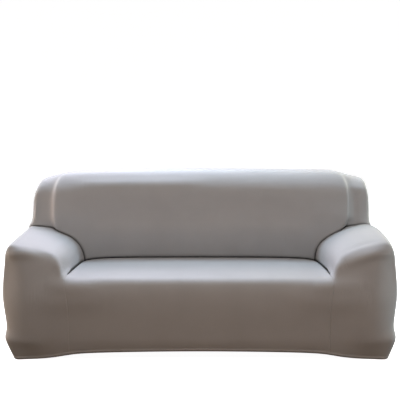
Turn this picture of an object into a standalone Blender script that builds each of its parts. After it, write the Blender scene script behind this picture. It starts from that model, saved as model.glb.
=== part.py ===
"""Fitted stretch slipcover for a three-seat sofa, as a hollow knit shell in five sewn panels.

Metres, +Z up. The cover faces -Y, stands on z = 0 and is centred on x = 0, y = 0.
The whole cover is one soft surface: a cage of loops and extrusions, subdivided, given the
thickness of the cloth and then cut along its seams into the panels that are sewn together.
"""

from collections import namedtuple
from math import radians

import bmesh
import bpy

# ---------------------------------------------------------------- sizes of the cloth
CLOTH_THICK = 0.002          # double knit with its turned seams
SEAM_GAP = 0.0003            # space left between two panels at a seam
SMOOTH_LEVELS = 1            # subdivision of the cage
CUT_EDGE_ANGLE = radians(50) # the cut edges of a panel are shaded sharp
KNIT_GREY = (0.40, 0.40, 0.41)
KNIT_ROUGHNESS = 0.62

# ---------------------------------------------------------------- steps of the cage
# The cage is laid out on whole steps first: columns across, rows from front to back and
# levels upwards. Level 0 is the seat, 1 the arm top, 5 the top of the back, -4 the hem.
CREASE_COL = 3               # where the seat meets the arm
RIDGE_COL = 5                # where the middle of the back ends and its wing begins
SIDE_COL = 7                 # outer side of the arm
BACK_ROW = 5                 # foot of the middle of the back
WING_ROW = 6                 # foot of the wing, behind the arm
REAR_ROW = 8                 # rear wall
TIP_ROW = 2                  # where the crease between seat and arm runs out
ARM_LEVEL = 1
TOP_LEVEL = 5
HEM_LEVEL = -4

# Columns from the middle outwards. x_ fields are half widths at the seat, at the arm top,
# up the back and at its top. arm_front and arm_rear are heights of the arm top, dip is how far
# the seat sinks at its rear, and lean how far the arm's front stands back.
Column = namedtuple(
    "Column", "name x_seat x_arm x_back x_top arm_front arm_rear back_top dip lean"
)
MIDDLE = (
    Column("centre", 0.000, 0.000, 0.000, 0.000, 0.608, 0.608, 0.980, 0.000, 0.000),
    Column("seat", 0.340, 0.340, 0.340, 0.340, 0.608, 0.608, 0.979, 0.000, 0.000),
    Column("seat_side", 0.640, 0.640, 0.640, 0.640, 0.608, 0.608, 0.974, 0.004, 0.000),
)
LEFT_ARM = (
    Column("crease", 0.728, 0.738, 0.740, 0.735, 0.528, 0.508, 0.969, 0.022, 0.004),
    Column("inner_edge", 0.800, 0.779, 0.820, 0.815, 0.587, 0.584, 0.964, 0.000, 0.022),
    Column("ridge", 0.905, 0.900, 0.912, 0.885, 0.618, 0.632, 0.954, 0.000, 0.014),
    Column("arm_top", 0.985, 1.010, 0.990, 0.950, 0.638, 0.648, 0.932, 0.000, 0.008),
    Column("side", 1.094, 1.082, 1.056, 1.012, 0.648, 0.648, 0.924, 0.000, 0.000),
)
RIGHT_ARM = (
    Column("crease", 0.722, 0.722, 0.740, 0.740, 0.523, 0.508, 0.974, 0.022, 0.004),
    Column("inner_edge", 0.788, 0.770, 0.825, 0.830, 0.590, 0.574, 0.974, 0.000, 0.022),
    Column("ridge", 0.905, 0.895, 0.915, 0.905, 0.632, 0.638, 0.959, 0.000, 0.014),
    Column("arm_top", 0.985, 0.995, 0.990, 0.970, 0.656, 0.658, 0.936, 0.000, 0.008),
    Column("side", 1.092, 1.074, 1.066, 1.046, 0.654, 0.664, 0.932, 0.000, 0.000),
)
COLUMNS = {-1: MIDDLE + LEFT_ARM, 1: MIDDLE + RIGHT_ARM}

# Rows from the front to the rear wall: depth at the seat and at the arm top, height of the
# seat, then how much each arm swells upwards there, how much its outer side flares, and how
# far the crease beside the seat splays outwards.
Row = namedtuple(
    "Row",
    "name y_seat y_arm seat_z swell_left swell_right flare_left flare_right splay_left splay_right",
)
ROWS = (
    Row("front", -0.420, -0.394, 0.448, -0.004, -0.012, 0.000, 0.000, 0.034, 0.022),
    Row("roll", -0.365, -0.336, 0.464, 0.002, 0.004, 0.000, 0.006, 0.030, 0.020),
    Row("tip", -0.290, -0.270, 0.466, 0.004, 0.012, 0.000, 0.012, 0.020, 0.018),
    Row("seat", -0.150, -0.150, 0.465, 0.004, 0.018, 0.000, 0.020, 0.006, 0.006),
    Row("seat_rear", 0.010, 0.020, 0.463, 0.002, 0.014, 0.002, 0.030, -0.004, 0.000),
    Row("back_foot", 0.098, 0.084, 0.453, 0.000, 0.004, 0.004, 0.030, -0.010, -0.004),
    Row("wing_foot", 0.130, 0.136, 0.468, 0.000, 0.000, 0.006, 0.008, 0.000, 0.000),
    Row("back_middle", 0.270, 0.270, 0.468, 0.000, 0.000, 0.008, 0.004, 0.000, 0.000),
    Row("rear", 0.425, 0.425, 0.468, 0.000, 0.000, 0.000, 0.000, 0.000, 0.000),
)

# Levels of the back above the arms: height (the last two are measured down from the top of
# the back) and depth of the middle of the back, the wings, the middle row and the rear wall.
Level = namedtuple("Level", "name z z_wing y_back y_wing y_middle y_rear")
LEVELS = {
    2: Level("wing_foot", 0.672, 0.672, 0.098, 0.146, 0.270, 0.424),
    3: Level("half_way", 0.800, 0.805, 0.116, 0.166, 0.270, 0.422),
    4: Level("brow", -0.076, -0.062, 0.128, 0.180, 0.280, 0.402),
    5: Level("top", 0.004, 0.002, 0.210, 0.248, 0.315, 0.390),
}
TOP_SHARE = 0.45             # how far the brow has drawn in towards the top's width
TOP_EDGE_DROP = 0.006        # the top's front and rear edges lie lower than its middle
WING_EDGE_DROP = 0.006       # and those of the wings
WING_FILLET = 0.012          # the wing's cloth sweeps out to the ridge over this width
RIDGE_CREASE = 0.35          # how crisply the back turns into its wing
WALL_Z = {0: 0.490, 1: 0.633}  # outer and rear walls beside the seat and the arms

# Skirt from the seat down to the hem: height, then how far the sides, front and rear stand.
Skirt = namedtuple("Skirt", "name z x_left x_right front_y arm_y rear_y")
SKIRT = {
    -1: Skirt("belly", 0.340, 1.116, 1.114, -0.438, -0.442, 0.425),
    -2: Skirt("knee", 0.170, 1.080, 1.083, -0.440, -0.450, 0.425),
    -3: Skirt("kink", 0.114, 1.100, 1.106, -0.444, -0.450, 0.425),
    -4: Skirt("hem", 0.000, 1.042, 1.056, -0.438, -0.430, 0.423),
}
# Rise of the front and rear hem above the floor, by column: it is drawn up between the feet.
HEM_RISE = (0.050, 0.047, 0.040, 0.030, 0.016, 0.000, 0.000, 0.000)
SIDE_HEM_RISE = (0.000, 0.000, 0.010, 0.024, 0.030, 0.030, 0.030, 0.018, 0.000)

# How far the upright front edge of each arm is drawn in, sideways and back, to round it.
CORNER_IN = {
    1: (0.008, 0.030),
    0: (0.010, 0.048),
    -1: (0.012, 0.054),
    -2: (0.010, 0.044),
    -3: (0.000, 0.014),
    -4: (-0.010, -0.010),
}

CENTRING = (-0.0013, 0.0041, 0.0)  # brings the middle of the whole cover over the origin

PANELS = (
    "seat_front_panel",
    "left_arm_panel",
    "right_arm_panel",
    "inside_back_panel",
    "outer_back_panel",
)
SEAT, LEFT, RIGHT, INSIDE_BACK, OUTER_BACK = range(len(PANELS))
HALF_STEP = 0.5
EPS = 0.01


def clear_scene():
    for item in list(bpy.data.objects):
        bpy.data.objects.remove(item, do_unlink=True)


def step_cage():
    """The cage on whole steps: a grid, its skirt, and arms and back extruded from it."""
    cage = bmesh.new()
    bmesh.ops.create_grid(cage, x_segments=2 * SIDE_COL, y_segments=REAR_ROW, size=1.0)
    bmesh.ops.translate(cage, vec=(0, 1, 0), verts=cage.verts)
    bmesh.ops.scale(cage, vec=(SIDE_COL, REAR_ROW / 2, 1), verts=cage.verts)
    for _ in range(-HEM_LEVEL):
        rim = [edge for edge in cage.edges if edge.is_boundary]
        made = bmesh.ops.extrude_edge_only(cage, edges=rim)["geom"]
        drop = [item for item in made if isinstance(item, bmesh.types.BMVert)]
        bmesh.ops.translate(cage, vec=(0, 0, -1), verts=drop)
    raise_faces(cage, in_arms_or_back)
    for _ in range(TOP_LEVEL - ARM_LEVEL):
        raise_faces(cage, in_back)
    return cage


def raise_faces(cage, chosen):
    """Extrudes the top faces that are chosen by one level."""
    tops = [face for face in cage.faces if face.normal.z > HALF_STEP and chosen(face)]
    made = bmesh.ops.extrude_face_region(cage, geom=tops)["geom"]
    lift = [item for item in made if isinstance(item, bmesh.types.BMVert)]
    bmesh.ops.translate(cage, vec=(0, 0, 1), verts=lift)
    bmesh.ops.delete(cage, geom=tops, context="FACES")
    cage.normal_update()


def in_back(face):
    """True inside the middle of the back or one of its wings."""
    spot = face.calc_center_median()
    foot = BACK_ROW if abs(spot.x) < RIDGE_COL else WING_ROW
    return spot.y > foot


def in_arms_or_back(face):
    return abs(face.calc_center_median().x) > CREASE_COL or in_back(face)


def panel_of(face):
    """Which panel a face of the cage is cut from."""
    spot = face.calc_center_median()
    if spot.y > REAR_ROW - EPS:
        return OUTER_BACK
    on_back_foot = abs(spot.y - BACK_ROW) < EPS and 0 < spot.z < ARM_LEVEL
    if spot.z > ARM_LEVEL + EPS or (on_back_foot and abs(spot.x) < CREASE_COL):
        return INSIDE_BACK
    if abs(spot.x) < CREASE_COL - EPS:
        return SEAT
    return LEFT if spot.x < 0 else RIGHT


def on_ridge(edge):
    """True on the upright edges where the back turns into its wing."""
    low = min(vert.co.z for vert in edge.verts)
    spots = {(round(abs(vert.co.x)), round(vert.co.y)) for vert in edge.verts}
    return spots == {(RIDGE_COL, BACK_ROW)} and low > EPS


def in_crease(edge):
    """True on the seams that are pulled into a sharp crease."""
    panels = {face.material_index for face in edge.link_faces}
    inner = len(panels) == 2 and OUTER_BACK not in panels
    low = min(vert.co.z for vert in edge.verts)
    front = min(vert.co.y for vert in edge.verts) < TIP_ROW - EPS
    side = min(abs(vert.co.x) for vert in edge.verts) > SIDE_COL - EPS
    return inner and low > -EPS and not front and not side


def place(column, row, level):
    """The real place of one corner of the cage."""
    side = -1 if column < 0 else 1
    reach = abs(column)
    col = COLUMNS[side][reach]
    here = ROWS[row]
    if level <= ARM_LEVEL and reach == SIDE_COL and row == 0:
        return corner_place(side, level)
    if level < 0:
        return skirt_place(side, reach, row, level)
    if level > ARM_LEVEL:
        return back_place(side, reach, row, level)
    shift = sideways(side, reach, here)
    lean = col.lean if row == 0 else 0.0
    if level == ARM_LEVEL:
        return side * (col.x_arm + shift), here.y_arm + lean, arm_height(side, reach, row)
    wall = reach > CREASE_COL or row == REAR_ROW
    seat_z = here.seat_z - col.dip * (row / BACK_ROW) ** 2
    x = col.x_seat + shift * (1.0 if reach == CREASE_COL else 0.5)
    return side * x, here.y_seat + lean, WALL_Z[0] if wall else seat_z


def sideways(side, reach, here):
    """How far a row moves a column out: the arm's outer side, or the crease beside the seat."""
    flare, splay = (
        (here.flare_left, here.splay_left) if side < 0 else (here.flare_right, here.splay_right)
    )
    return {SIDE_COL: flare, CREASE_COL: splay, CREASE_COL + 1: splay / 4}.get(reach, 0.0)


def corner_place(side, level):
    """A corner of the cage on the upright front edge of an arm, drawn in to round it."""
    if level < 0:
        x, y, z = skirt_place(side, SIDE_COL, 0, level)
    else:
        col = COLUMNS[side][SIDE_COL]
        half_width = col.x_arm if level == ARM_LEVEL else col.x_seat
        height = arm_height(side, SIDE_COL, 0) if level == ARM_LEVEL else WALL_Z[0]
        x, y, z = side * half_width, ROWS[0].y_arm, height
    in_x, in_y = CORNER_IN[level]
    return x - side * in_x, y + in_y, z


def arm_height(side, reach, row):
    """Height at the arm level: the arm top itself, or the back at that height."""
    if reach < CREASE_COL or row > WING_ROW:
        return WALL_Z[ARM_LEVEL]
    col = COLUMNS[side][reach]
    swell = ROWS[row].swell_left if side < 0 else ROWS[row].swell_right
    return col.arm_front + (col.arm_rear - col.arm_front) * row / WING_ROW + swell


def back_place(side, reach, row, level):
    """A corner of the back, above the arms."""
    col = COLUMNS[side][reach]
    here = LEVELS[level]
    depths = {BACK_ROW: here.y_back, WING_ROW: here.y_wing, REAR_ROW: here.y_rear}
    on_wing = reach > RIDGE_COL
    x, z = col.x_back, here.z_wing if on_wing else here.z
    if level >= TOP_LEVEL - 1:
        share = 1.0 if level == TOP_LEVEL else TOP_SHARE
        x += (col.x_top - col.x_back) * share
        z += col.back_top
    if level == TOP_LEVEL and row in (WING_ROW if on_wing else BACK_ROW, REAR_ROW):
        z -= WING_EDGE_DROP if on_wing else TOP_EDGE_DROP
    if reach == RIDGE_COL and row == WING_ROW and level < TOP_LEVEL:
        x += WING_FILLET
    return side * x, depths.get(row, here.y_middle), z


def skirt_place(side, reach, row, level):
    """A corner of the skirt, on the front, on a side or on the rear wall."""
    band = SKIRT[level]
    side_x = band.x_left if side < 0 else band.x_right
    x = side_x if reach == SIDE_COL else COLUMNS[side][reach].x_seat
    front_y = band.front_y if reach < RIDGE_COL else band.arm_y
    y = {0: front_y, REAR_ROW: band.rear_y}.get(row, ROWS[row].y_seat)
    z = band.z
    if level == HEM_LEVEL:
        on_side = reach == SIDE_COL and 0 < row < REAR_ROW
        z += SIDE_HEM_RISE[row] if on_side else HEM_RISE[reach]
    return side * x, y, z


def whole_cover():
    """The cage in its real shape, smoothed and given the cloth's thickness, as one mesh."""
    cage = step_cage()
    for face in cage.faces:
        face.material_index = panel_of(face)
        face.smooth = True
    crease = cage.edges.layers.float.new("crease_edge")
    for edge in cage.edges:
        edge[crease] = 1.0 if in_crease(edge) else RIDGE_CREASE * on_ridge(edge)
    for vert in cage.verts:
        vert.co = place(*(round(step) for step in vert.co))
    bmesh.ops.translate(cage, vec=CENTRING, verts=cage.verts)
    mesh = bpy.data.meshes.new("cage")
    cage.to_mesh(mesh)
    cage.free()
    helper = bpy.data.objects.new("cage", mesh)
    bpy.context.scene.collection.objects.link(helper)
    smooth = helper.modifiers.new("smooth", "SUBSURF")
    smooth.levels = SMOOTH_LEVELS
    smooth.render_levels = SMOOTH_LEVELS
    wall = helper.modifiers.new("cloth", "SOLIDIFY")
    wall.thickness = CLOTH_THICK
    wall.offset = -1.0
    wall.use_even_offset = True
    wall.use_quality_normals = True
    wall.use_rim = False
    graph = bpy.context.evaluated_depsgraph_get()
    cover = bpy.data.meshes.new_from_object(helper.evaluated_get(graph))
    bpy.data.objects.remove(helper, do_unlink=True)
    return cover


def cut_panel(cover, index):
    """One panel as a closed solid: its outer and inner cloth, held back from the seams."""
    panel = bmesh.new()
    panel.from_mesh(cover)
    others = [face for face in panel.faces if face.material_index != index]
    bmesh.ops.delete(panel, geom=others, context="FACES")
    bmesh.ops.triangulate(panel, faces=list(panel.faces), quad_method="SHORT_EDGE")
    strip = bmesh.ops.inset_region(
        panel,
        faces=list(panel.faces),
        use_boundary=True,
        use_even_offset=True,
        thickness=SEAM_GAP / 2,
    )["faces"]
    bmesh.ops.delete(panel, geom=strip, context="FACES")
    rim = [edge for edge in panel.edges if edge.is_boundary]
    walls = bmesh.ops.bridge_loops(panel, edges=rim)["faces"]
    bmesh.ops.triangulate(panel, faces=walls, quad_method="SHORT_EDGE")
    bmesh.ops.recalc_face_normals(panel, faces=list(panel.faces))
    for face in panel.faces:
        face.material_index = 0
        face.smooth = True
    mesh = bpy.data.meshes.new(PANELS[index])
    panel.to_mesh(mesh)
    panel.free()
    mesh.set_sharp_from_angle(angle=CUT_EDGE_ANGLE)
    return mesh


def knit(name):
    """Matt stretch knit in one shade of light grey."""
    cloth = bpy.data.materials.new(name + "_knit")
    cloth.use_nodes = True
    shader = cloth.node_tree.nodes["Principled BSDF"]
    shader.inputs["Base Color"].default_value = (*KNIT_GREY, 1.0)
    shader.inputs["Roughness"].default_value = KNIT_ROUGHNESS
    shader.inputs["Metallic"].default_value = 0.0
    return cloth


def main():
    clear_scene()
    group = bpy.data.collections.new("sofa_slipcover")
    bpy.context.scene.collection.children.link(group)
    cover = whole_cover()
    for index, name in enumerate(PANELS):
        mesh = cut_panel(cover, index)
        mesh.materials.clear()
        mesh.materials.append(knit(name))
        group.objects.link(bpy.data.objects.new(name, mesh))
    bpy.data.meshes.remove(cover)


main()
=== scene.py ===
"""Light grey stretch slipcover for three seats: its knit cloth, seams, folds and hem."""

from collections import namedtuple
from math import atan2, pi

import bmesh
import bpy
import numpy as np
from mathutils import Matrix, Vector


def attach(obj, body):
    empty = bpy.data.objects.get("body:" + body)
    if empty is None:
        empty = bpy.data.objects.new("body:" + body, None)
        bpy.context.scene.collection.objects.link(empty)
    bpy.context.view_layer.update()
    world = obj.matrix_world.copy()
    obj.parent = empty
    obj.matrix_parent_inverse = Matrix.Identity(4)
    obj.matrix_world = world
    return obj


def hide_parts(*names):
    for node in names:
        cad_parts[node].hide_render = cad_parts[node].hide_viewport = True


# ---------------------------------------------------------------- sizes of the cloth
KNIT_THICK = 0.0012          # double-faced knit
SMOOTH_LEVELS = 4            # subdivision of the cage
HEM_BAND = 0.018             # depth of the turned hem
HEM_STEP = 0.0009            # the doubled hem stands this far proud of the skirt
NEEDLE_ROW = 0.0135          # height of the hem's stitch row above its edge
STITCH = 0.0050              # from one stitch of the hem to the next
STITCH_WIDE = 0.0012
STITCH_SHARE = 0.72          # share of that step which the thread covers
WALE = 0.0024                # real wales are 0.8 mm apart, drawn three times as coarse to show
COURSE = 0.0018              # and so are the courses, really 0.6 mm

# ---------------------------------------------------------------- steps of the cage
# The cage is laid out on whole steps first: columns across, rows from front to back and
# levels upwards. Level 0 is the seat, 1 the arm top, 5 the top of the back, -4 the hem.
CREASE_COL = 3               # where the seat meets the arm
RIDGE_COL = 5                # where the middle of the back ends and its wing begins
SIDE_COL = 7                 # outer side of the arm
BACK_ROW = 5                 # foot of the middle of the back
WING_ROW = 6                 # foot of the wing, behind the arm
REAR_ROW = 8                 # rear wall
TIP_ROW = 2                  # where the crease between seat and arm runs out
ARM_LEVEL = 1
TOP_LEVEL = 5
HEM_LEVEL = -4
EPS = 0.01                   # slack when two places on the step cage are compared
FACING = 0.5                 # a face looks along an axis if its normal reaches this far

# Columns from the middle outwards. x_ fields are half widths at the seat, at the arm top,
# up the back and at its top. arm_front and arm_rear are heights of the arm top, dip is how far
# the seat sinks at its rear, and lean how far the arm's front stands back.
Column = namedtuple(
    "Column", "name x_seat x_arm x_back x_top arm_front arm_rear back_top dip lean"
)
MIDDLE = (
    Column("centre", 0.000, 0.000, 0.000, 0.000, 0.608, 0.608, 0.980, 0.000, 0.000),
    Column("seat", 0.340, 0.340, 0.340, 0.340, 0.608, 0.608, 0.979, 0.000, 0.000),
    Column("seat_side", 0.640, 0.640, 0.640, 0.640, 0.608, 0.608, 0.974, 0.004, 0.000),
)
LEFT_ARM = (
    Column("crease", 0.728, 0.738, 0.740, 0.735, 0.528, 0.508, 0.969, 0.022, 0.004),
    Column("inner_edge", 0.800, 0.779, 0.820, 0.815, 0.587, 0.584, 0.964, 0.000, 0.022),
    Column("ridge", 0.905, 0.900, 0.912, 0.885, 0.618, 0.632, 0.954, 0.000, 0.014),
    Column("arm_top", 0.985, 1.010, 0.990, 0.950, 0.638, 0.648, 0.932, 0.000, 0.008),
    Column("side", 1.094, 1.082, 1.056, 1.012, 0.648, 0.648, 0.924, 0.000, 0.000),
)
RIGHT_ARM = (
    Column("crease", 0.722, 0.722, 0.740, 0.740, 0.523, 0.508, 0.974, 0.022, 0.004),
    Column("inner_edge", 0.788, 0.770, 0.825, 0.830, 0.590, 0.574, 0.974, 0.000, 0.022),
    Column("ridge", 0.905, 0.895, 0.915, 0.905, 0.632, 0.638, 0.959, 0.000, 0.014),
    Column("arm_top", 0.985, 0.995, 0.990, 0.970, 0.656, 0.658, 0.936, 0.000, 0.008),
    Column("side", 1.092, 1.074, 1.066, 1.046, 0.654, 0.664, 0.932, 0.000, 0.000),
)
COLUMNS = {-1: MIDDLE + LEFT_ARM, 1: MIDDLE + RIGHT_ARM}

# Rows from the front to the rear wall: depth at the seat and at the arm top, height of the
# seat, then how much each arm swells upwards there, how much its outer side flares, and how
# far the crease beside the seat splays outwards.
Row = namedtuple(
    "Row",
    "name y_seat y_arm seat_z swell_left swell_right flare_left flare_right splay_left splay_right",
)
ROWS = (
    Row("front", -0.420, -0.394, 0.448, -0.004, -0.012, 0.000, 0.000, 0.034, 0.022),
    Row("roll", -0.365, -0.336, 0.464, 0.002, 0.004, 0.000, 0.006, 0.030, 0.020),
    Row("tip", -0.290, -0.270, 0.466, 0.004, 0.012, 0.000, 0.012, 0.020, 0.018),
    Row("seat", -0.150, -0.150, 0.465, 0.004, 0.018, 0.000, 0.020, 0.006, 0.006),
    Row("seat_rear", 0.010, 0.020, 0.463, 0.002, 0.014, 0.002, 0.030, -0.004, 0.000),
    Row("back_foot", 0.098, 0.084, 0.453, 0.000, 0.004, 0.004, 0.030, -0.010, -0.004),
    Row("wing_foot", 0.130, 0.136, 0.468, 0.000, 0.000, 0.006, 0.008, 0.000, 0.000),
    Row("back_middle", 0.270, 0.270, 0.468, 0.000, 0.000, 0.008, 0.004, 0.000, 0.000),
    Row("rear", 0.425, 0.425, 0.468, 0.000, 0.000, 0.000, 0.000, 0.000, 0.000),
)

# Levels of the back above the arms: height (the last two are measured down from the top of
# the back) and depth of the middle of the back, the wings, the middle row and the rear wall.
Level = namedtuple("Level", "name z z_wing y_back y_wing y_middle y_rear")
LEVELS = {
    2: Level("wing_foot", 0.672, 0.672, 0.098, 0.146, 0.270, 0.424),
    3: Level("half_way", 0.800, 0.805, 0.116, 0.166, 0.270, 0.422),
    4: Level("brow", -0.076, -0.062, 0.128, 0.180, 0.280, 0.402),
    5: Level("top", 0.004, 0.002, 0.210, 0.248, 0.315, 0.390),
}
SEAT_SHIFT = 0.5             # at the seat's height the arm's columns move half as far
EDGE_SPLAY = 0.25            # the arm's inner edge follows the crease's splay by a quarter
TOP_SHARE = 0.45             # how far the brow has drawn in towards the top's width
TOP_EDGE_DROP = 0.006        # the top's front and rear edges lie lower than its middle
WING_EDGE_DROP = 0.006       # and those of the wings
WING_FILLET = 0.012          # the wing's cloth sweeps out to the ridge over this width
RIDGE_CREASE = 0.24          # how crisply the back turns into its wing
WALL_Z = {0: 0.490, 1: 0.633}  # outer and rear walls beside the seat and the arms

# Skirt from the seat down to the hem: height, then how far the sides, front and rear stand.
Skirt = namedtuple("Skirt", "name z x_left x_right front_y arm_y rear_y")
SKIRT = {
    -1: Skirt("belly", 0.340, 1.116, 1.114, -0.438, -0.442, 0.425),
    -2: Skirt("knee", 0.170, 1.080, 1.083, -0.440, -0.450, 0.425),
    -3: Skirt("kink", 0.114, 1.100, 1.106, -0.444, -0.450, 0.425),
    -4: Skirt("hem", 0.000, 1.042, 1.056, -0.438, -0.430, 0.423),
}
# Rise of the front and rear hem above the floor, by column: it is drawn up between the feet.
HEM_RISE = (0.050, 0.047, 0.040, 0.030, 0.016, 0.000, 0.000, 0.000)
SIDE_HEM_RISE = (0.000, 0.000, 0.010, 0.024, 0.030, 0.030, 0.030, 0.018, 0.000)

# How far the upright front edge of each arm is drawn in, sideways and back, to round it.
CORNER_IN = {
    1: (0.008, 0.030),
    0: (0.010, 0.048),
    -1: (0.012, 0.054),
    -2: (0.010, 0.044),
    -3: (0.000, 0.014),
    -4: (-0.010, -0.010),
}

CENTRING = (-0.0013, 0.0041, 0.0)  # brings the middle of the whole cover over the origin

# Panels as cut: flat width and length before the knit is stretched, and the flat area of the
# cut, in metres and square metres.
Panel = namedtuple("Panel", "name width length area")
PANELS = (
    Panel("seat_front_panel", 1.34, 0.88, 1.16),
    Panel("left_arm_panel", 1.05, 1.00, 0.84),
    Panel("right_arm_panel", 1.05, 1.02, 0.87),
    Panel("inside_back_panel", 2.00, 0.82, 1.37),
    Panel("outer_back_panel", 1.98, 0.92, 1.78),
)
SEAT, LEFT, RIGHT, INSIDE_BACK, OUTER_BACK = range(len(PANELS))

# ---------------------------------------------------------------- the turned hem
# The hem's section, ring by ring: how far each ring lies below the skirt's raw edge and how
# far out from its face. It runs down the outside, round the fold and up the inside.
HEM_RINGS = (
    (0.0010, HEM_STEP),
    (HEM_BAND * 0.45, HEM_STEP),
    (HEM_BAND * 0.75, HEM_STEP - 0.0012),
    (HEM_BAND - 0.0014, -0.0034),
    (HEM_BAND - 0.0002, -0.0050),
    (HEM_BAND, -0.0064),
    (HEM_BAND - 0.0010, -0.0076),
    (HEM_BAND * 0.5, -0.0040),
    (0.0020, -0.0030),
)
HEM_UNDERSIDE = -0.0055      # rings further in than this lie under the fold, without stitches
HEM_SLANT = -0.5             # where the skirt runs flatter than this, the hem hangs upright
CLEAR_OF_HEM = 2 * HEM_BAND  # what the skirt keeps as its height, to be clear of the stitches

# ---------------------------------------------------------------- seams drawn into creases
TUCK_REACH = 0.013           # the cloth turns in over this distance on both sides of a crease
FLAT_SEAM = 0.00015          # depth of a flat sewn seam
SEAM_WIDTH = 0.004           # and how far its line reaches to each side
SEAM_SEARCH = 0.06           # a seam is looked for this far along each axis
FRONT_FADE = (-0.368, -0.312)  # towards the front the arm's crease runs out flat
SIDE_FADE = (1.045, 1.085)   # and so does the crease behind the arm, at the outer side
REAR_SEAM_Y = 0.34           # seams behind this are the flat ones of the rear wall
CREASE_SHADE = 0.006         # painted shade: the cloth is drawn darker this far from a crease
CREASE_EASE = 0.55           # above these heights, behind the arms, that painted shade is weaker
CREASE_EASE_Z = (0.470, 0.560)
LOOP_CUTS = 2                # extra loops beside a seam where the mesh is coarse
COARSE_EDGE = 0.005          # edges longer than this take the extra loops

# ---------------------------------------------------------------- folds pressed one by one
# Each fold is a soft ridge (rise over 0) or trough along a bent line through three points.
# Width and rise are in metres, and its height falls off to both sides as a bell curve.
Fold = namedtuple("Fold", "name width rise start middle end")
FOLDS = (
    Fold("left_arm_saddle", 0.042, 0.017,
         (-0.860, -0.440, 0.445), (-0.735, -0.438, 0.430), (-0.590, -0.432, 0.430)),
    Fold("left_front_swell", 0.070, 0.011,
         (-0.940, -0.440, 0.360), (-0.740, -0.440, 0.355), (-0.500, -0.440, 0.360)),
    Fold("left_arm_notch", 0.036, 0.010,
         (-0.795, -0.400, 0.560), (-0.742, -0.400, 0.520), (-0.690, -0.400, 0.480)),
    Fold("left_arm_edge", 0.040, -0.007,
         (-0.950, -0.380, 0.630), (-0.880, -0.375, 0.610), (-0.815, -0.375, 0.580)),
    Fold("left_arm_brow", 0.029, 0.014,
         (-1.075, -0.360, 0.585), (-0.980, -0.382, 0.598), (-0.870, -0.400, 0.590)),
    Fold("right_arm_notch", 0.036, 0.006,
         (0.790, -0.400, 0.560), (0.742, -0.400, 0.520), (0.690, -0.400, 0.475)),
    Fold("right_arm_saddle", 0.042, 0.018,
         (0.900, -0.440, 0.440), (0.760, -0.438, 0.432), (0.610, -0.432, 0.430)),
    Fold("right_front_swell", 0.070, 0.012,
         (0.940, -0.440, 0.360), (0.760, -0.440, 0.355), (0.520, -0.440, 0.360)),
    Fold("right_arm_edge", 0.030, -0.005,
         (1.000, -0.335, 0.660), (0.890, -0.330, 0.640), (0.785, -0.340, 0.570)),
    Fold("right_arm_brow", 0.030, 0.015,
         (1.085, -0.360, 0.585), (0.955, -0.388, 0.595), (0.785, -0.390, 0.530)),
    Fold("left_foot_kink", 0.030, 0.006,
         (-1.110, -0.330, 0.130), (-1.040, -0.445, 0.120), (-0.880, -0.455, 0.100)),
    Fold("right_foot_kink", 0.030, 0.006,
         (1.110, -0.330, 0.130), (1.050, -0.445, 0.120), (0.900, -0.455, 0.100)),
    Fold("left_brow", 0.034, 0.011,
         (-0.760, 0.140, 0.915), (-0.400, 0.128, 0.925), (0.000, 0.140, 0.925)),
    Fold("right_wing_brow", 0.030, 0.008,
         (0.920, 0.170, 0.890), (0.970, 0.176, 0.885), (1.030, 0.190, 0.870)),
    Fold("right_wing_side", 0.030, 0.004,
         (1.058, 0.190, 0.870), (1.064, 0.190, 0.760), (1.066, 0.190, 0.660)),
    Fold("left_wing_edge", 0.007, 0.004,
         (-1.022, 0.165, 0.860), (-1.026, 0.165, 0.760), (-1.030, 0.165, 0.650)),
    Fold("left_wing_shade", 0.010, -0.010,
         (-1.046, 0.180, 0.730), (-1.050, 0.180, 0.690), (-1.058, 0.180, 0.650)),
    Fold("left_wing_hollow", 0.034, -0.006,
         (-0.990, 0.180, 0.900), (-1.000, 0.158, 0.780), (-1.004, 0.140, 0.650)),
    Fold("right_back_ridge", 0.015, 0.011,
         (0.911, 0.145, 0.900), (0.919, 0.118, 0.800), (0.917, 0.098, 0.650)),
    Fold("right_wing_hollow", 0.020, -0.011,
         (0.960, 0.180, 0.850), (0.968, 0.160, 0.760), (0.968, 0.140, 0.640)),
)
FOLD_STEPS = 25              # places along its line at which a fold is measured
FOLD_WIDTHS = 3              # a fold has faded out at this many widths
FOLD_ENDS = (0.02, 0.98)     # it runs out softly towards these shares of its length
FOLD_FADE = 0.5              # power of that run-out: under 1 a fold stays full for longer

# ---------------------------------------------------------------- look of the knit
KNIT_DARK = "#3D3D3D"        # painted shade in the creases
KNIT_MIDDLE = "#A8AAAC"      # the dyed cloth
KNIT_LIGHT = "#B6B9BA"       # crowns of its loops
MIDDLE_STOP = 0.75           # place of the dyed cloth on the ramp from dark to light
PLAIN_TONE = 0.57            # where the plain cloth starts on that ramp, and what moves it
CLOUD_TONE = 0.16
FLECK_TONE = 0.10
LOOP_TONE = 0.08
# painted shade: how much darker the cloth is drawn beside a crease
CREASE_SHADE_TONE = -0.55
STITCH_TONE = -0.14
PLAIN_ROUGH = 0.57           # the nap scatters the light, a little more in the dye's clouds
CLOUD_ROUGH = 0.10
CLOUD_SCALE = 7.0            # clouds of the piece dye, 140 mm across
FLECK_SCALE = 420.0          # flecks of single fibres, drawn 2.4 mm across to show
NAP_SCALE = 160.0            # tufts of the brushed nap, 6 mm
COURSE_RELIEF = 0.35         # relief of the courses, the nap and the stitches, in loop heights
NAP_RELIEF = 0.5
STITCH_RELIEF = -1.2
LOOP_HEIGHT = 0.0004         # height of a loop
LOOP_STRENGTH = 0.35
# Polyester refracts at 1.53. The brushed face has a weak shine and a soft, silky sheen.
KNIT_SHINE = {"IOR": 1.53, "Specular IOR Level": 0.35, "Sheen Weight": 0.25, "Sheen Roughness": 0.45}

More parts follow.
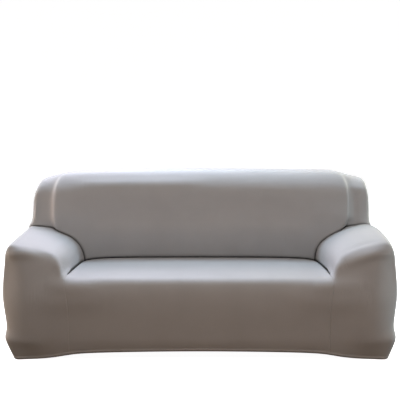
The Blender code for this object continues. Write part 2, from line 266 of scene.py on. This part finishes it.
# ---------------------------------------------------------------- camera and studio
# The camera was worked out from the lines of the seat, the arms and the back in the photo.
PHOTO_PX = 400.0             # width of the photo
LENS_PX = 678.0              # distance of the lens, in the photo's pixels
HORIZON_PX = 115.0           # the horizon lies this far above the photo's middle
SENSOR = 36.0
CAMERA_AT = (-0.0013, -4.0075, 1.5124)
CAMERA_DOWN = atan2(HORIZON_PX, LENS_PX)
CAMERA_LENS = SENSOR * LENS_PX / PHOTO_PX
STUDIO_SIDES = 96
STUDIO_RADIUS = 9.0
STUDIO_HEIGHT = 7.0
STUDIO_CURVE = 3.0           # radius of the curve from its floor to its wall
STUDIO_CURVE_STEPS = 16
PAPER_WHITE = "#E8E8E8"
PAPER_ROUGH = 0.9
PAPER_GLOW = 0.97            # as pale as the background of the photo


# ================================================================ what the rest uses
def show(name, data):
    """A new object with this data, linked to the scene."""
    shown = bpy.data.objects.new(name, data)
    bpy.context.scene.collection.objects.link(shown)
    return shown


def made_verts(result):
    """The points among the geometry that a bmesh operator made."""
    return [item for item in result["geom"] if isinstance(item, bmesh.types.BMVert)]


def made_edges(result):
    """The edges among that geometry."""
    return [item for item in result["geom"] if isinstance(item, bmesh.types.BMEdge)]


# ================================================================ the sheet of the cover
def step_cage():
    """The cage on whole steps: a grid, its skirt, and arms and back extruded from it."""
    cage = bmesh.new()
    bmesh.ops.create_grid(cage, x_segments=2 * SIDE_COL, y_segments=REAR_ROW, size=1.0)
    bmesh.ops.translate(cage, vec=(0, 1, 0), verts=cage.verts)
    bmesh.ops.scale(cage, vec=(SIDE_COL, REAR_ROW / 2, 1), verts=cage.verts)
    for _ in range(-HEM_LEVEL):
        rim = [edge for edge in cage.edges if edge.is_boundary]
        skirt = bmesh.ops.extrude_edge_only(cage, edges=rim)
        bmesh.ops.translate(cage, vec=(0, 0, -1), verts=made_verts(skirt))
    raise_faces(cage, in_arms_or_back)
    for _ in range(TOP_LEVEL - ARM_LEVEL):
        raise_faces(cage, in_back)
    return cage


def raise_faces(cage, chosen):
    """Extrudes the top faces that are chosen by one level."""
    tops = [face for face in cage.faces if face.normal.z > FACING and chosen(face)]
    raised = bmesh.ops.extrude_face_region(cage, geom=tops)
    bmesh.ops.translate(cage, vec=(0, 0, 1), verts=made_verts(raised))
    bmesh.ops.delete(cage, geom=tops, context="FACES")
    cage.normal_update()


def in_back(face):
    """True inside the middle of the back or one of its wings."""
    spot = face.calc_center_median()
    foot = BACK_ROW if abs(spot.x) < RIDGE_COL else WING_ROW
    return spot.y > foot


def in_arms_or_back(face):
    """True inside an arm or the back."""
    return abs(face.calc_center_median().x) > CREASE_COL or in_back(face)


def panel_of(face):
    """Which panel a face of the cage is cut from."""
    spot = face.calc_center_median()
    if spot.y > REAR_ROW - EPS:
        return OUTER_BACK
    on_back_foot = abs(spot.y - BACK_ROW) < EPS and 0 < spot.z < ARM_LEVEL
    if spot.z > ARM_LEVEL + EPS or (on_back_foot and abs(spot.x) < CREASE_COL):
        return INSIDE_BACK
    if abs(spot.x) < CREASE_COL - EPS:
        return SEAT
    return LEFT if spot.x < 0 else RIGHT


def on_ridge(edge):
    """True on the upright edges where the back turns into its wing."""
    low = min(vert.co.z for vert in edge.verts)
    spots = {(round(abs(vert.co.x)), round(vert.co.y)) for vert in edge.verts}
    return spots == {(RIDGE_COL, BACK_ROW)} and low > EPS


def in_crease(edge):
    """True on the seams that are pulled into a sharp crease."""
    panels = {face.material_index for face in edge.link_faces}
    inner = len(panels) == 2 and OUTER_BACK not in panels
    low = min(vert.co.z for vert in edge.verts)
    front = min(vert.co.y for vert in edge.verts) < TIP_ROW - EPS
    side = min(abs(vert.co.x) for vert in edge.verts) > SIDE_COL - EPS
    return inner and low > -EPS and not front and not side


def place(column, row, level):
    """The real place of one corner of the cage."""
    side = -1 if column < 0 else 1
    reach = abs(column)
    col = COLUMNS[side][reach]
    here = ROWS[row]
    if level <= ARM_LEVEL and reach == SIDE_COL and row == 0:
        return corner_place(side, level)
    if level < 0:
        return skirt_place(side, reach, row, level)
    if level > ARM_LEVEL:
        return back_place(side, reach, row, level)
    shift = sideways(side, reach, here)
    lean = col.lean if row == 0 else 0.0
    if level == ARM_LEVEL:
        return side * (col.x_arm + shift), here.y_arm + lean, arm_height(side, reach, row)
    wall = reach > CREASE_COL or row == REAR_ROW
    seat_z = here.seat_z - col.dip * (row / BACK_ROW) ** 2
    x = col.x_seat + shift * (1.0 if reach == CREASE_COL else SEAT_SHIFT)
    return side * x, here.y_seat + lean, WALL_Z[0] if wall else seat_z


def sideways(side, reach, here):
    """How far a row moves a column out: the arm's outer side, or the crease beside the seat."""
    flare, splay = (
        (here.flare_left, here.splay_left) if side < 0 else (here.flare_right, here.splay_right)
    )
    return {SIDE_COL: flare, CREASE_COL: splay, CREASE_COL + 1: splay * EDGE_SPLAY}.get(reach, 0.0)


def corner_place(side, level):
    """A corner of the cage on the upright front edge of an arm, drawn in to round it."""
    if level < 0:
        x, y, z = skirt_place(side, SIDE_COL, 0, level)
    else:
        col = COLUMNS[side][SIDE_COL]
        half_width = col.x_arm if level == ARM_LEVEL else col.x_seat
        height = arm_height(side, SIDE_COL, 0) if level == ARM_LEVEL else WALL_Z[0]
        x, y, z = side * half_width, ROWS[0].y_arm, height
    in_x, in_y = CORNER_IN[level]
    return x - side * in_x, y + in_y, z


def arm_height(side, reach, row):
    """Height at the arm level: the arm top itself, or the back at that height."""
    if reach < CREASE_COL or row > WING_ROW:
        return WALL_Z[ARM_LEVEL]
    col = COLUMNS[side][reach]
    swell = ROWS[row].swell_left if side < 0 else ROWS[row].swell_right
    return col.arm_front + (col.arm_rear - col.arm_front) * row / WING_ROW + swell


def back_place(side, reach, row, level):
    """A corner of the back, above the arms."""
    col = COLUMNS[side][reach]
    here = LEVELS[level]
    depths = {BACK_ROW: here.y_back, WING_ROW: here.y_wing, REAR_ROW: here.y_rear}
    on_wing = reach > RIDGE_COL
    x, z = col.x_back, here.z_wing if on_wing else here.z
    if level >= TOP_LEVEL - 1:
        share = 1.0 if level == TOP_LEVEL else TOP_SHARE
        x += (col.x_top - col.x_back) * share
        z += col.back_top
    if level == TOP_LEVEL and row in (WING_ROW if on_wing else BACK_ROW, REAR_ROW):
        z -= WING_EDGE_DROP if on_wing else TOP_EDGE_DROP
    if reach == RIDGE_COL and row == WING_ROW and level < TOP_LEVEL:
        x += WING_FILLET
    return side * x, depths.get(row, here.y_middle), z


def skirt_place(side, reach, row, level):
    """A corner of the skirt, on the front, on a side or on the rear wall."""
    band = SKIRT[level]
    side_x = band.x_left if side < 0 else band.x_right
    x = side_x if reach == SIDE_COL else COLUMNS[side][reach].x_seat
    front_y = band.front_y if reach < RIDGE_COL else band.arm_y
    y = {0: front_y, REAR_ROW: band.rear_y}.get(row, ROWS[row].y_seat)
    z = band.z
    if level == HEM_LEVEL:
        on_side = reach == SIDE_COL and 0 < row < REAR_ROW
        z += HEM_BAND + (SIDE_HEM_RISE[row] if on_side else HEM_RISE[reach])
    return side * x, y, z


def lay_grain(cage, facing):
    """Lays the knit's grain on the cage in metres: wales run up the skirt and along the seat."""
    grain = cage.loops.layers.uv.new("grain")
    for face in cage.faces:
        axis = facing[face.index]
        for loop in face.loops:
            x, y, z = loop.vert.co
            loop[grain].uv = {"up": (x, y), "side": (y, z), "front": (x, z)}[axis]


def facing_of(face):
    """Whether a face of the step cage looks up, sideways or to the front or rear."""
    if abs(face.normal.z) > FACING:
        return "up"
    return "side" if abs(face.normal.x) > FACING else "front"


def fitted_cage():
    """The cage brought to its real places, with its panels, creases and grain marked."""
    cage = step_cage()
    cage.faces.index_update()
    facing = [facing_of(face) for face in cage.faces]
    crease = cage.edges.layers.float.new("crease_edge")
    for face in cage.faces:
        face.material_index = panel_of(face)
        face.smooth = True
    for edge in cage.edges:
        edge[crease] = 1.0 if in_crease(edge) else RIDGE_CREASE * on_ridge(edge)
    for vert in cage.verts:
        vert.co = place(*(round(step) for step in vert.co))
    bmesh.ops.translate(cage, vec=CENTRING, verts=cage.verts)
    lay_grain(cage, facing)
    return cage


def knit_cover():
    """The whole cover as one fine sheet, not yet cut into its panels."""
    cage = fitted_cage()
    mesh = bpy.data.meshes.new("cage")
    cage.to_mesh(mesh)
    cage.free()
    helper = show("cage", mesh)
    smooth = helper.modifiers.new("smooth", "SUBSURF")
    smooth.levels = SMOOTH_LEVELS
    smooth.render_levels = SMOOTH_LEVELS
    graph = bpy.context.evaluated_depsgraph_get()
    cover = bpy.data.meshes.new_from_object(helper.evaluated_get(graph))
    bpy.data.objects.remove(helper, do_unlink=True)
    cut_loops(cover)
    shape_cloth(cover)
    return cover


def on_seam(edge):
    """True where two panels are sewn together."""
    return len({face.material_index for face in edge.link_faces}) == 2


def cut_loops(cover):
    """Cuts loops beside the seams where the sheet is too coarse to turn in smoothly."""
    cloth = bmesh.new()
    cloth.from_mesh(cover)
    seam_verts = {vert for edge in cloth.edges if on_seam(edge) for vert in edge.verts}
    beside = [
        edge
        for edge in cloth.edges
        if (edge.verts[0] in seam_verts) != (edge.verts[1] in seam_verts)
        and edge.calc_length() > COARSE_EDGE
    ]
    bmesh.ops.subdivide_edges(cloth, edges=beside, cuts=LOOP_CUTS, use_grid_fill=True)
    cloth.to_mesh(cover)
    cloth.free()


# ================================================================ turning in and folding
def soft_step(low, high, value):
    """0 below low, 1 above high and a smooth rise between them."""
    share = np.clip((value - low) / (high - low), 0.0, 1.0)
    return share * share * (3.0 - 2.0 * share)


def seam_lines(cover):
    """Both ends of every seam edge of the cover, as two arrays."""
    cloth = bmesh.new()
    cloth.from_mesh(cover)
    ends = [[tuple(vert.co) for vert in edge.verts] for edge in cloth.edges if on_seam(edge)]
    cloth.free()
    ends = np.array(ends)
    return ends[:, 0], ends[:, 1]


def nearest_on_lines(points, starts, ends):
    """Distance from each point to the nearest of some short lines, and the nearest place."""
    best = np.full(len(points), np.inf)
    spot = np.zeros_like(points)
    for start, end in zip(starts, ends):
        near = np.all(np.abs(points - (start + end) / 2) < SEAM_SEARCH, axis=1)
        some = points[near]
        along = end - start
        share = np.clip((some - start) @ along / (along @ along), 0.0, 1.0)
        place_on = start + share[:, None] * along
        away = np.linalg.norm(some - place_on, axis=1)
        index = np.flatnonzero(near)
        closer = away < best[index]
        best[index[closer]] = away[closer]
        spot[index[closer]] = place_on[closer]
    return best, spot


def tuck_share(spot):
    """How deeply a seam is drawn in there: 1 in the creases, 0 on the flat seams."""
    share = soft_step(*FRONT_FADE, spot[:, 1])
    share *= 1.0 - soft_step(*SIDE_FADE, np.abs(spot[:, 0]))
    share[spot[:, 1] > REAR_SEAM_Y] = 0.0
    return share


def turn_in(away, share):
    """Depth of the cloth beside a seam: a quarter round in a crease, a fine line elsewhere."""
    inside = np.clip(TUCK_REACH - away, 0.0, TUCK_REACH)
    round_depth = TUCK_REACH - np.sqrt(TUCK_REACH**2 - inside**2)
    line_depth = FLAT_SEAM * np.clip(1.0 - away / SEAM_WIDTH, 0.0, 1.0)
    return share * round_depth + (1.0 - share) * line_depth


def fold_height(points, fold):
    """Height of one fold at every point of the cover."""
    steps = np.linspace(0.0, 1.0, FOLD_STEPS)[:, None]
    start, middle, end = (np.array(spot) for spot in (fold.start, fold.middle, fold.end))
    pull = 2 * middle - (start + end) / 2
    path = (1 - steps) ** 2 * start + 2 * steps * (1 - steps) * pull + steps**2 * end
    reach = FOLD_WIDTHS * fold.width
    low, high = path.min(0) - reach, path.max(0) + reach
    near = np.flatnonzero(np.all((points > low) & (points < high), axis=1))
    gaps = np.linalg.norm(points[near, None, :] - path[None, :, :], axis=2)
    along = steps[gaps.argmin(1), 0]
    across = gaps.min(1) / fold.width
    fade = np.sin(pi * np.clip(along, *FOLD_ENDS)) ** FOLD_FADE
    height = np.zeros(len(points))
    height[near] = fold.rise * np.exp(-(across**2)) * fade
    return height


def read_vectors(source, name):
    """One vector for each point of the cover, as the rows of an array."""
    values = np.empty(len(source) * 3)
    source.foreach_get(name, values)
    return values.reshape(-1, 3)


def shape_cloth(cover):
    """Draws the seams in, presses the folds, and keeps how much painted shade lies beside the
    creases, for the shader.
    """
    points = read_vectors(cover.vertices, "co")
    normals = read_vectors(cover.vertex_normals, "vector")
    away, spot = nearest_on_lines(points, *seam_lines(cover))
    share = tuck_share(spot)
    rise = -turn_in(away, share)
    for fold in FOLDS:
        rise += fold_height(points, fold)
    points += normals * rise[:, None]
    cover.vertices.foreach_set("co", points.ravel())
    # painted shade beside the creases, weaker high up behind the arms, kept as the crease attribute
    painted_crease_shade = share * (1.0 - CREASE_EASE * soft_step(*CREASE_EASE_Z, spot[:, 2]))
    painted_crease_shade *= np.exp(-((away / CREASE_SHADE) ** 2))
    layer = cover.attributes.new("crease", "FLOAT", "POINT")
    layer.data.foreach_set("value", painted_crease_shade.astype(np.float32))
    cover.update()


# ================================================================ cutting and sewing
def raw_edge(panel, hem_edges):
    """For each point of the raw edge: its place, the way down the cloth and the way out of it."""
    panel.normal_update()
    beside = {}
    for edge in hem_edges:
        face = edge.link_faces[0]
        middle = (edge.verts[0].co + edge.verts[1].co) / 2
        away = middle - face.calc_center_median()
        for vert in edge.verts:
            beside.setdefault(vert, []).append((face.normal.copy(), away))
    ways = {}
    for vert, found in beside.items():
        out = sum((normal for normal, away in found), Vector()).normalized()
        down = sum((away for normal, away in found), Vector())
        down = (down - down.dot(out) * out).normalized()
        if down.z > HEM_SLANT:
            down = Vector((0, 0, -1))
        ways[vert] = vert.co.copy(), down, out
    return ways


def turn_hem(panel, hem_edges, reach):
    """Turns the hem: a doubled band that stands a little proud and folds up inside."""
    ways = raw_edge(panel, hem_edges)
    ring = hem_edges
    for low, proud in HEM_RINGS:
        band = bmesh.ops.extrude_edge_only(panel, edges=ring)
        below = {}
        for vert in made_verts(band):
            above = (edge.other_vert(vert) for edge in vert.link_edges)
            way = next(ways[other] for other in above if other in ways)
            start, down, out = way
            vert.co = start + down * low + out * proud
            vert[reach] = HEM_BAND - low if proud > HEM_UNDERSIDE else HEM_BAND
            below[vert] = way
        ways = below
        ring = [edge for edge in made_edges(band) if all(vert in below for vert in edge.verts)]


def cut_panel(cover, index):
    """One panel cut from the cover, with its hem turned; keeps each point's height in the hem."""
    panel = bmesh.new()
    panel.from_mesh(cover)
    reach = panel.verts.layers.float.new("hem_reach")
    for vert in panel.verts:
        vert[reach] = CLEAR_OF_HEM
    rim = [edge for edge in panel.edges if edge.is_boundary]
    hem = [edge for edge in rim if edge.link_faces[0].material_index == index]
    for vert in {vert for edge in hem for vert in edge.verts}:
        vert[reach] = HEM_BAND
    others = [face for face in panel.faces if face.material_index != index]
    bmesh.ops.delete(panel, geom=others, context="FACES")
    turn_hem(panel, hem, reach)
    for face in panel.faces:
        face.material_index = 0
        face.smooth = True
    return panel


def sew_panel(cover, index, knit):
    """A finished panel: its shape, the thickness of its cloth and its knit."""
    name = PANELS[index].name + "_cloth"
    panel = cut_panel(cover, index)
    mesh = bpy.data.meshes.new(name)
    panel.to_mesh(mesh)
    panel.free()
    mesh.materials.clear()
    mesh.materials.append(knit)
    cloth = show(name, mesh)
    wall = cloth.modifiers.new("cloth", "SOLIDIFY")
    wall.thickness = KNIT_THICK
    wall.offset = -1.0
    return cloth


# ================================================================ the knit
def linear(shade):
    """An sRGB hex colour as the linear colour that a shader takes."""
    parts = [int(shade[at:at + 2], 16) / 255 for at in (1, 3, 5)]
    return tuple(p / 12.92 if p <= 0.04045 else ((p + 0.055) / 1.055) ** 2.4 for p in parts) + (1.0,)


def add(tree, kind, settings=None, links=None):
    """Adds a node; settings name its properties or input values, links its inputs' sources."""
    node = tree.nodes.new(kind)
    for key, value in (settings or {}).items():
        if isinstance(key, str) and hasattr(node, key):
            setattr(node, key, value)
        else:
            node.inputs[key].default_value = value
    for key, socket in (links or {}).items():
        tree.links.new(socket, node.inputs[key])
    return node


def maths(tree, operation, first, second=0.0, third=0.0):
    """Adds a sum of up to three inputs, each a number or another node's output."""
    inputs = dict(enumerate((first, second, third)))
    values = {key: item for key, item in inputs.items() if isinstance(item, float)}
    sockets = {key: item for key, item in inputs.items() if key not in values}
    node = add(tree, "ShaderNodeMath", {"operation": operation, **values}, sockets)
    return node.outputs[0]


def loop_height(tree, across, along):
    """Height of the knitted loops: wales of small V shapes, course over course."""
    wale = maths(tree, "MULTIPLY", across, 1.0 / WALE)
    leg = maths(tree, "PINGPONG", wale, 0.5)
    course = maths(tree, "MULTIPLY_ADD", along, 1.0 / COURSE, leg)
    loops = maths(tree, "SINE", maths(tree, "MULTIPLY", course, 2 * pi))
    crowns = maths(tree, "SINE", maths(tree, "MULTIPLY", leg, pi))
    return maths(tree, "MULTIPLY_ADD", loops, COURSE_RELIEF, crowns)


def needle_row(tree, across, along):
    """1 on the stitches of the hem: short dashes in one row above its edge."""
    above = add(tree, "ShaderNodeAttribute", {"attribute_name": "hem_reach"}).outputs["Fac"]
    away = maths(tree, "ABSOLUTE", maths(tree, "SUBTRACT", above, NEEDLE_ROW))
    row = maths(tree, "LESS_THAN", away, STITCH_WIDE / 2)
    run = maths(tree, "DIVIDE", maths(tree, "ADD", across, along), STITCH)
    dash = maths(tree, "LESS_THAN", maths(tree, "FRACT", run), STITCH_SHARE)
    return maths(tree, "MULTIPLY", row, dash)


def dyed_colour(tree, body, cloud, loops, stitches):
    """Its colour: clouds of the piece dye, flecks, loops, painted shade in the creases and the hem's
    thread.
    """
    fleck = add(tree, "ShaderNodeTexNoise", {"Scale": FLECK_SCALE, "Detail": 2.0}, {"Vector": body})
    crease = add(tree, "ShaderNodeAttribute", {"attribute_name": "crease"}).outputs["Fac"]
    tone = maths(tree, "MULTIPLY_ADD", cloud, CLOUD_TONE, PLAIN_TONE)
    tone = maths(tree, "MULTIPLY_ADD", fleck.outputs["Fac"], FLECK_TONE, tone)
    tone = maths(tree, "MULTIPLY_ADD", loops, LOOP_TONE, tone)
    # painted shade: darker beside the creases
    tone = maths(tree, "MULTIPLY_ADD", crease, CREASE_SHADE_TONE, tone)
    tone = maths(tree, "MULTIPLY_ADD", stitches, STITCH_TONE, tone)
    ramp = add(tree, "ShaderNodeValToRGB", links={"Fac": tone})
    dark, light = ramp.color_ramp.elements
    dark.color = linear(KNIT_DARK)
    light.color = linear(KNIT_LIGHT)
    middle = ramp.color_ramp.elements.new(MIDDLE_STOP)
    middle.color = linear(KNIT_MIDDLE)
    return ramp.outputs["Color"]


def brushed_relief(tree, body, loops, stitches):
    """Its relief: the loops, the brushed nap over them and the stitches sunk into them."""
    nap = add(tree, "ShaderNodeTexNoise", {"Scale": NAP_SCALE, "Detail": 4.0}, {"Vector": body})
    height = maths(tree, "MULTIPLY_ADD", nap.outputs["Fac"], NAP_RELIEF, loops)
    height = maths(tree, "MULTIPLY_ADD", stitches, STITCH_RELIEF, height)
    relief = {"Strength": LOOP_STRENGTH, "Distance": LOOP_HEIGHT}
    return add(tree, "ShaderNodeBump", relief, {"Height": height}).outputs["Normal"]


def stretch_knit():
    """Polyester and elastane jersey, circular-knit, piece-dyed and brushed: matt, a silky sheen."""
    knit = bpy.data.materials.new("stretch_jersey")
    knit.use_nodes = True
    tree = knit.node_tree
    grain = add(tree, "ShaderNodeUVMap", {"uv_map": "grain"})
    axes = add(tree, "ShaderNodeSeparateXYZ", links={0: grain.outputs[0]})
    across, along = axes.outputs[0], axes.outputs[1]
    body = add(tree, "ShaderNodeTexCoord").outputs["Object"]
    noise = add(tree, "ShaderNodeTexNoise", {"Scale": CLOUD_SCALE, "Detail": 3.0}, {"Vector": body})
    cloud = noise.outputs["Fac"]
    loops = loop_height(tree, across, along)
    stitches = needle_row(tree, across, along)
    colour = dyed_colour(tree, body, cloud, loops, stitches)
    matt = maths(tree, "MULTIPLY_ADD", cloud, CLOUD_ROUGH, PLAIN_ROUGH)
    shader = tree.nodes["Principled BSDF"]
    tree.links.new(colour, shader.inputs["Base Color"])
    tree.links.new(matt, shader.inputs["Roughness"])
    tree.links.new(brushed_relief(tree, body, loops, stitches), shader.inputs["Normal"])
    for socket, value in KNIT_SHINE.items():
        shader.inputs[socket].default_value = value
    return knit


# ================================================================ studio and camera
def sweep_paper():
    """Matt white background paper, lit until it shows no shade: an even pale ground."""
    paper = bpy.data.materials.new("sweep_paper")
    paper.use_nodes = True
    shader = paper.node_tree.nodes["Principled BSDF"]
    shader.inputs["Base Color"].default_value = linear(PAPER_WHITE)
    shader.inputs["Roughness"].default_value = PAPER_ROUGH
    shader.inputs["Emission Color"].default_value = linear("#FFFFFF")
    shader.inputs["Emission Strength"].default_value = PAPER_GLOW
    return paper


def sweep():
    """A round white studio, floor and wall in one curve, that throws no light on the cloth."""
    room = bmesh.new()
    bmesh.ops.create_circle(room, cap_ends=True, segments=STUDIO_SIDES, radius=STUDIO_RADIUS)
    rim = [edge for edge in room.edges if edge.is_boundary]
    wall = bmesh.ops.extrude_edge_only(room, edges=rim)
    bmesh.ops.translate(room, vec=(0, 0, STUDIO_HEIGHT), verts=made_verts(wall))
    bmesh.ops.bevel(
        room,
        geom=rim,
        offset=STUDIO_CURVE,
        segments=STUDIO_CURVE_STEPS,
        profile=0.5,
        affect="EDGES",
        material=-1,
    )
    bmesh.ops.recalc_face_normals(room, faces=list(room.faces))
    ground = next(face for face in room.faces if abs(face.normal.z) > FACING)
    if ground.normal.z < 0:
        bmesh.ops.reverse_faces(room, faces=list(room.faces))
    for face in room.faces:
        face.smooth = True
    mesh = bpy.data.meshes.new("white_sweep")
    room.to_mesh(mesh)
    room.free()
    mesh.materials.append(sweep_paper())
    floor = show("white_sweep", mesh)
    floor.visible_diffuse = False
    floor.visible_glossy = False


# Soft boxes: where each stands, what it points at, its size in metres, watts and tint.
Lamp = namedtuple("Lamp", "name at aim width height watts tint")
LAMPS = (
    Lamp("top_box", (0.0, 0.9, 3.0), (0.0, 0.4, 0.5), 3.0, 0.5, 76.0, (0.68, 0.83, 0.98)),
    Lamp("front_box", (0.0, -2.2, 3.2), (0.0, 0.0, 0.5), 3.0, 1.0, 63.2, (1.00, 0.90, 0.85)),
    Lamp("rear_left_box", (-0.9, 1.4, 2.4), (-0.4, 0.3, 0.95), 1.0, 0.8, 36.0, (1.00, 0.83, 0.94)),
    Lamp("rear_right_box", (1.3, 1.4, 2.4), (0.9, 0.3, 0.95), 1.0, 0.8, 14.2, (1.00, 0.82, 0.54)),
    Lamp("left_rear_box", (-2.6, 1.4, 1.2), (-0.9, 0.2, 0.6), 0.8, 1.6, 33.2, (0.89, 0.96, 1.00)),
    Lamp("right_rear_box", (2.6, 1.4, 1.2), (0.9, 0.2, 0.6), 0.8, 1.6, 36.0, (1.00, 0.98, 0.85)),
    Lamp("left_side_box", (-2.8, 0.3, 0.9), (-0.8, 0.0, 0.4), 0.8, 1.6, 22.0, (1.00, 0.81, 0.73)),
    Lamp("right_side_box", (2.8, 0.3, 0.9), (0.8, 0.0, 0.4), 0.8, 1.6, 7.3, (0.96, 1.00, 0.96)),
    Lamp("left_low_box", (-2.4, -0.3, 0.2), (-1.1, -0.3, 0.3), 0.8, 0.4, 7.6, (1.00, 0.74, 0.54)),
    Lamp("right_low_box", (2.4, -0.3, 0.2), (1.1, -0.3, 0.3), 0.8, 0.4, 8.0, (0.84, 0.97, 1.00)),
    Lamp("right_front_box", (2.2, -1.4, 0.5), (1.05, -0.4, 0.35), 0.6, 0.9, 2.1, (1.00, 0.70, 0.54)),
    Lamp("floor_glow", (0.0, -2.2, 0.05), (0.0, -0.44, 0.3), 3.0, 0.8, 5.2, (1.00, 0.54, 0.24)),
    Lamp("top_spot", (-0.28, 0.8, 1.7), (-0.25, 0.2, 0.98), 0.7, 0.3, 4.4, (0.63, 0.80, 1.00)),
)


def studio():
    """Soft boxes round the cover, and a room that gives no light of its own."""
    for lamp in LAMPS:
        light = bpy.data.lights.new(lamp.name, "AREA")
        light.shape = "RECTANGLE"
        light.size = lamp.width
        light.size_y = lamp.height
        light.energy = lamp.watts
        light.color = lamp.tint
        box = show(lamp.name, light)
        box.location = lamp.at
        box.rotation_euler = (Vector(lamp.aim) - Vector(lamp.at)).to_track_quat("-Z", "Y").to_euler()
    room = bpy.data.worlds.new("dim_room")
    room.use_nodes = True
    back = room.node_tree.nodes["Background"]
    back.inputs["Strength"].default_value = 0.0
    bpy.context.scene.world = room
    bpy.context.scene.view_settings.view_transform = "Standard"


def photo_camera():
    """The camera at the photo's viewing angle."""
    lens = bpy.data.cameras.new("photo_camera")
    lens.lens = CAMERA_LENS
    lens.sensor_width = SENSOR
    camera = show("photo_camera", lens)
    camera.location = CAMERA_AT
    camera.rotation_euler = (pi / 2 - CAMERA_DOWN, 0, 0)
    bpy.context.scene.camera = camera


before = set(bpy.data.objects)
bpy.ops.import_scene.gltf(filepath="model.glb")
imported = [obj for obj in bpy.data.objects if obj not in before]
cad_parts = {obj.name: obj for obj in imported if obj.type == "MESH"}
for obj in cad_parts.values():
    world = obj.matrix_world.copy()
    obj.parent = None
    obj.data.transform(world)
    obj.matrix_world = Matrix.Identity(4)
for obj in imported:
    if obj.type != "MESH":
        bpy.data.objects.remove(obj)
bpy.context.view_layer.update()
knit = stretch_knit()
cover = knit_cover()
for index, panel in enumerate(PANELS):
    cloth = sew_panel(cover, index, knit)
    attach(cloth, "root")
    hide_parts(panel.name)
bpy.data.meshes.remove(cover)
sweep()
studio()
photo_camera()
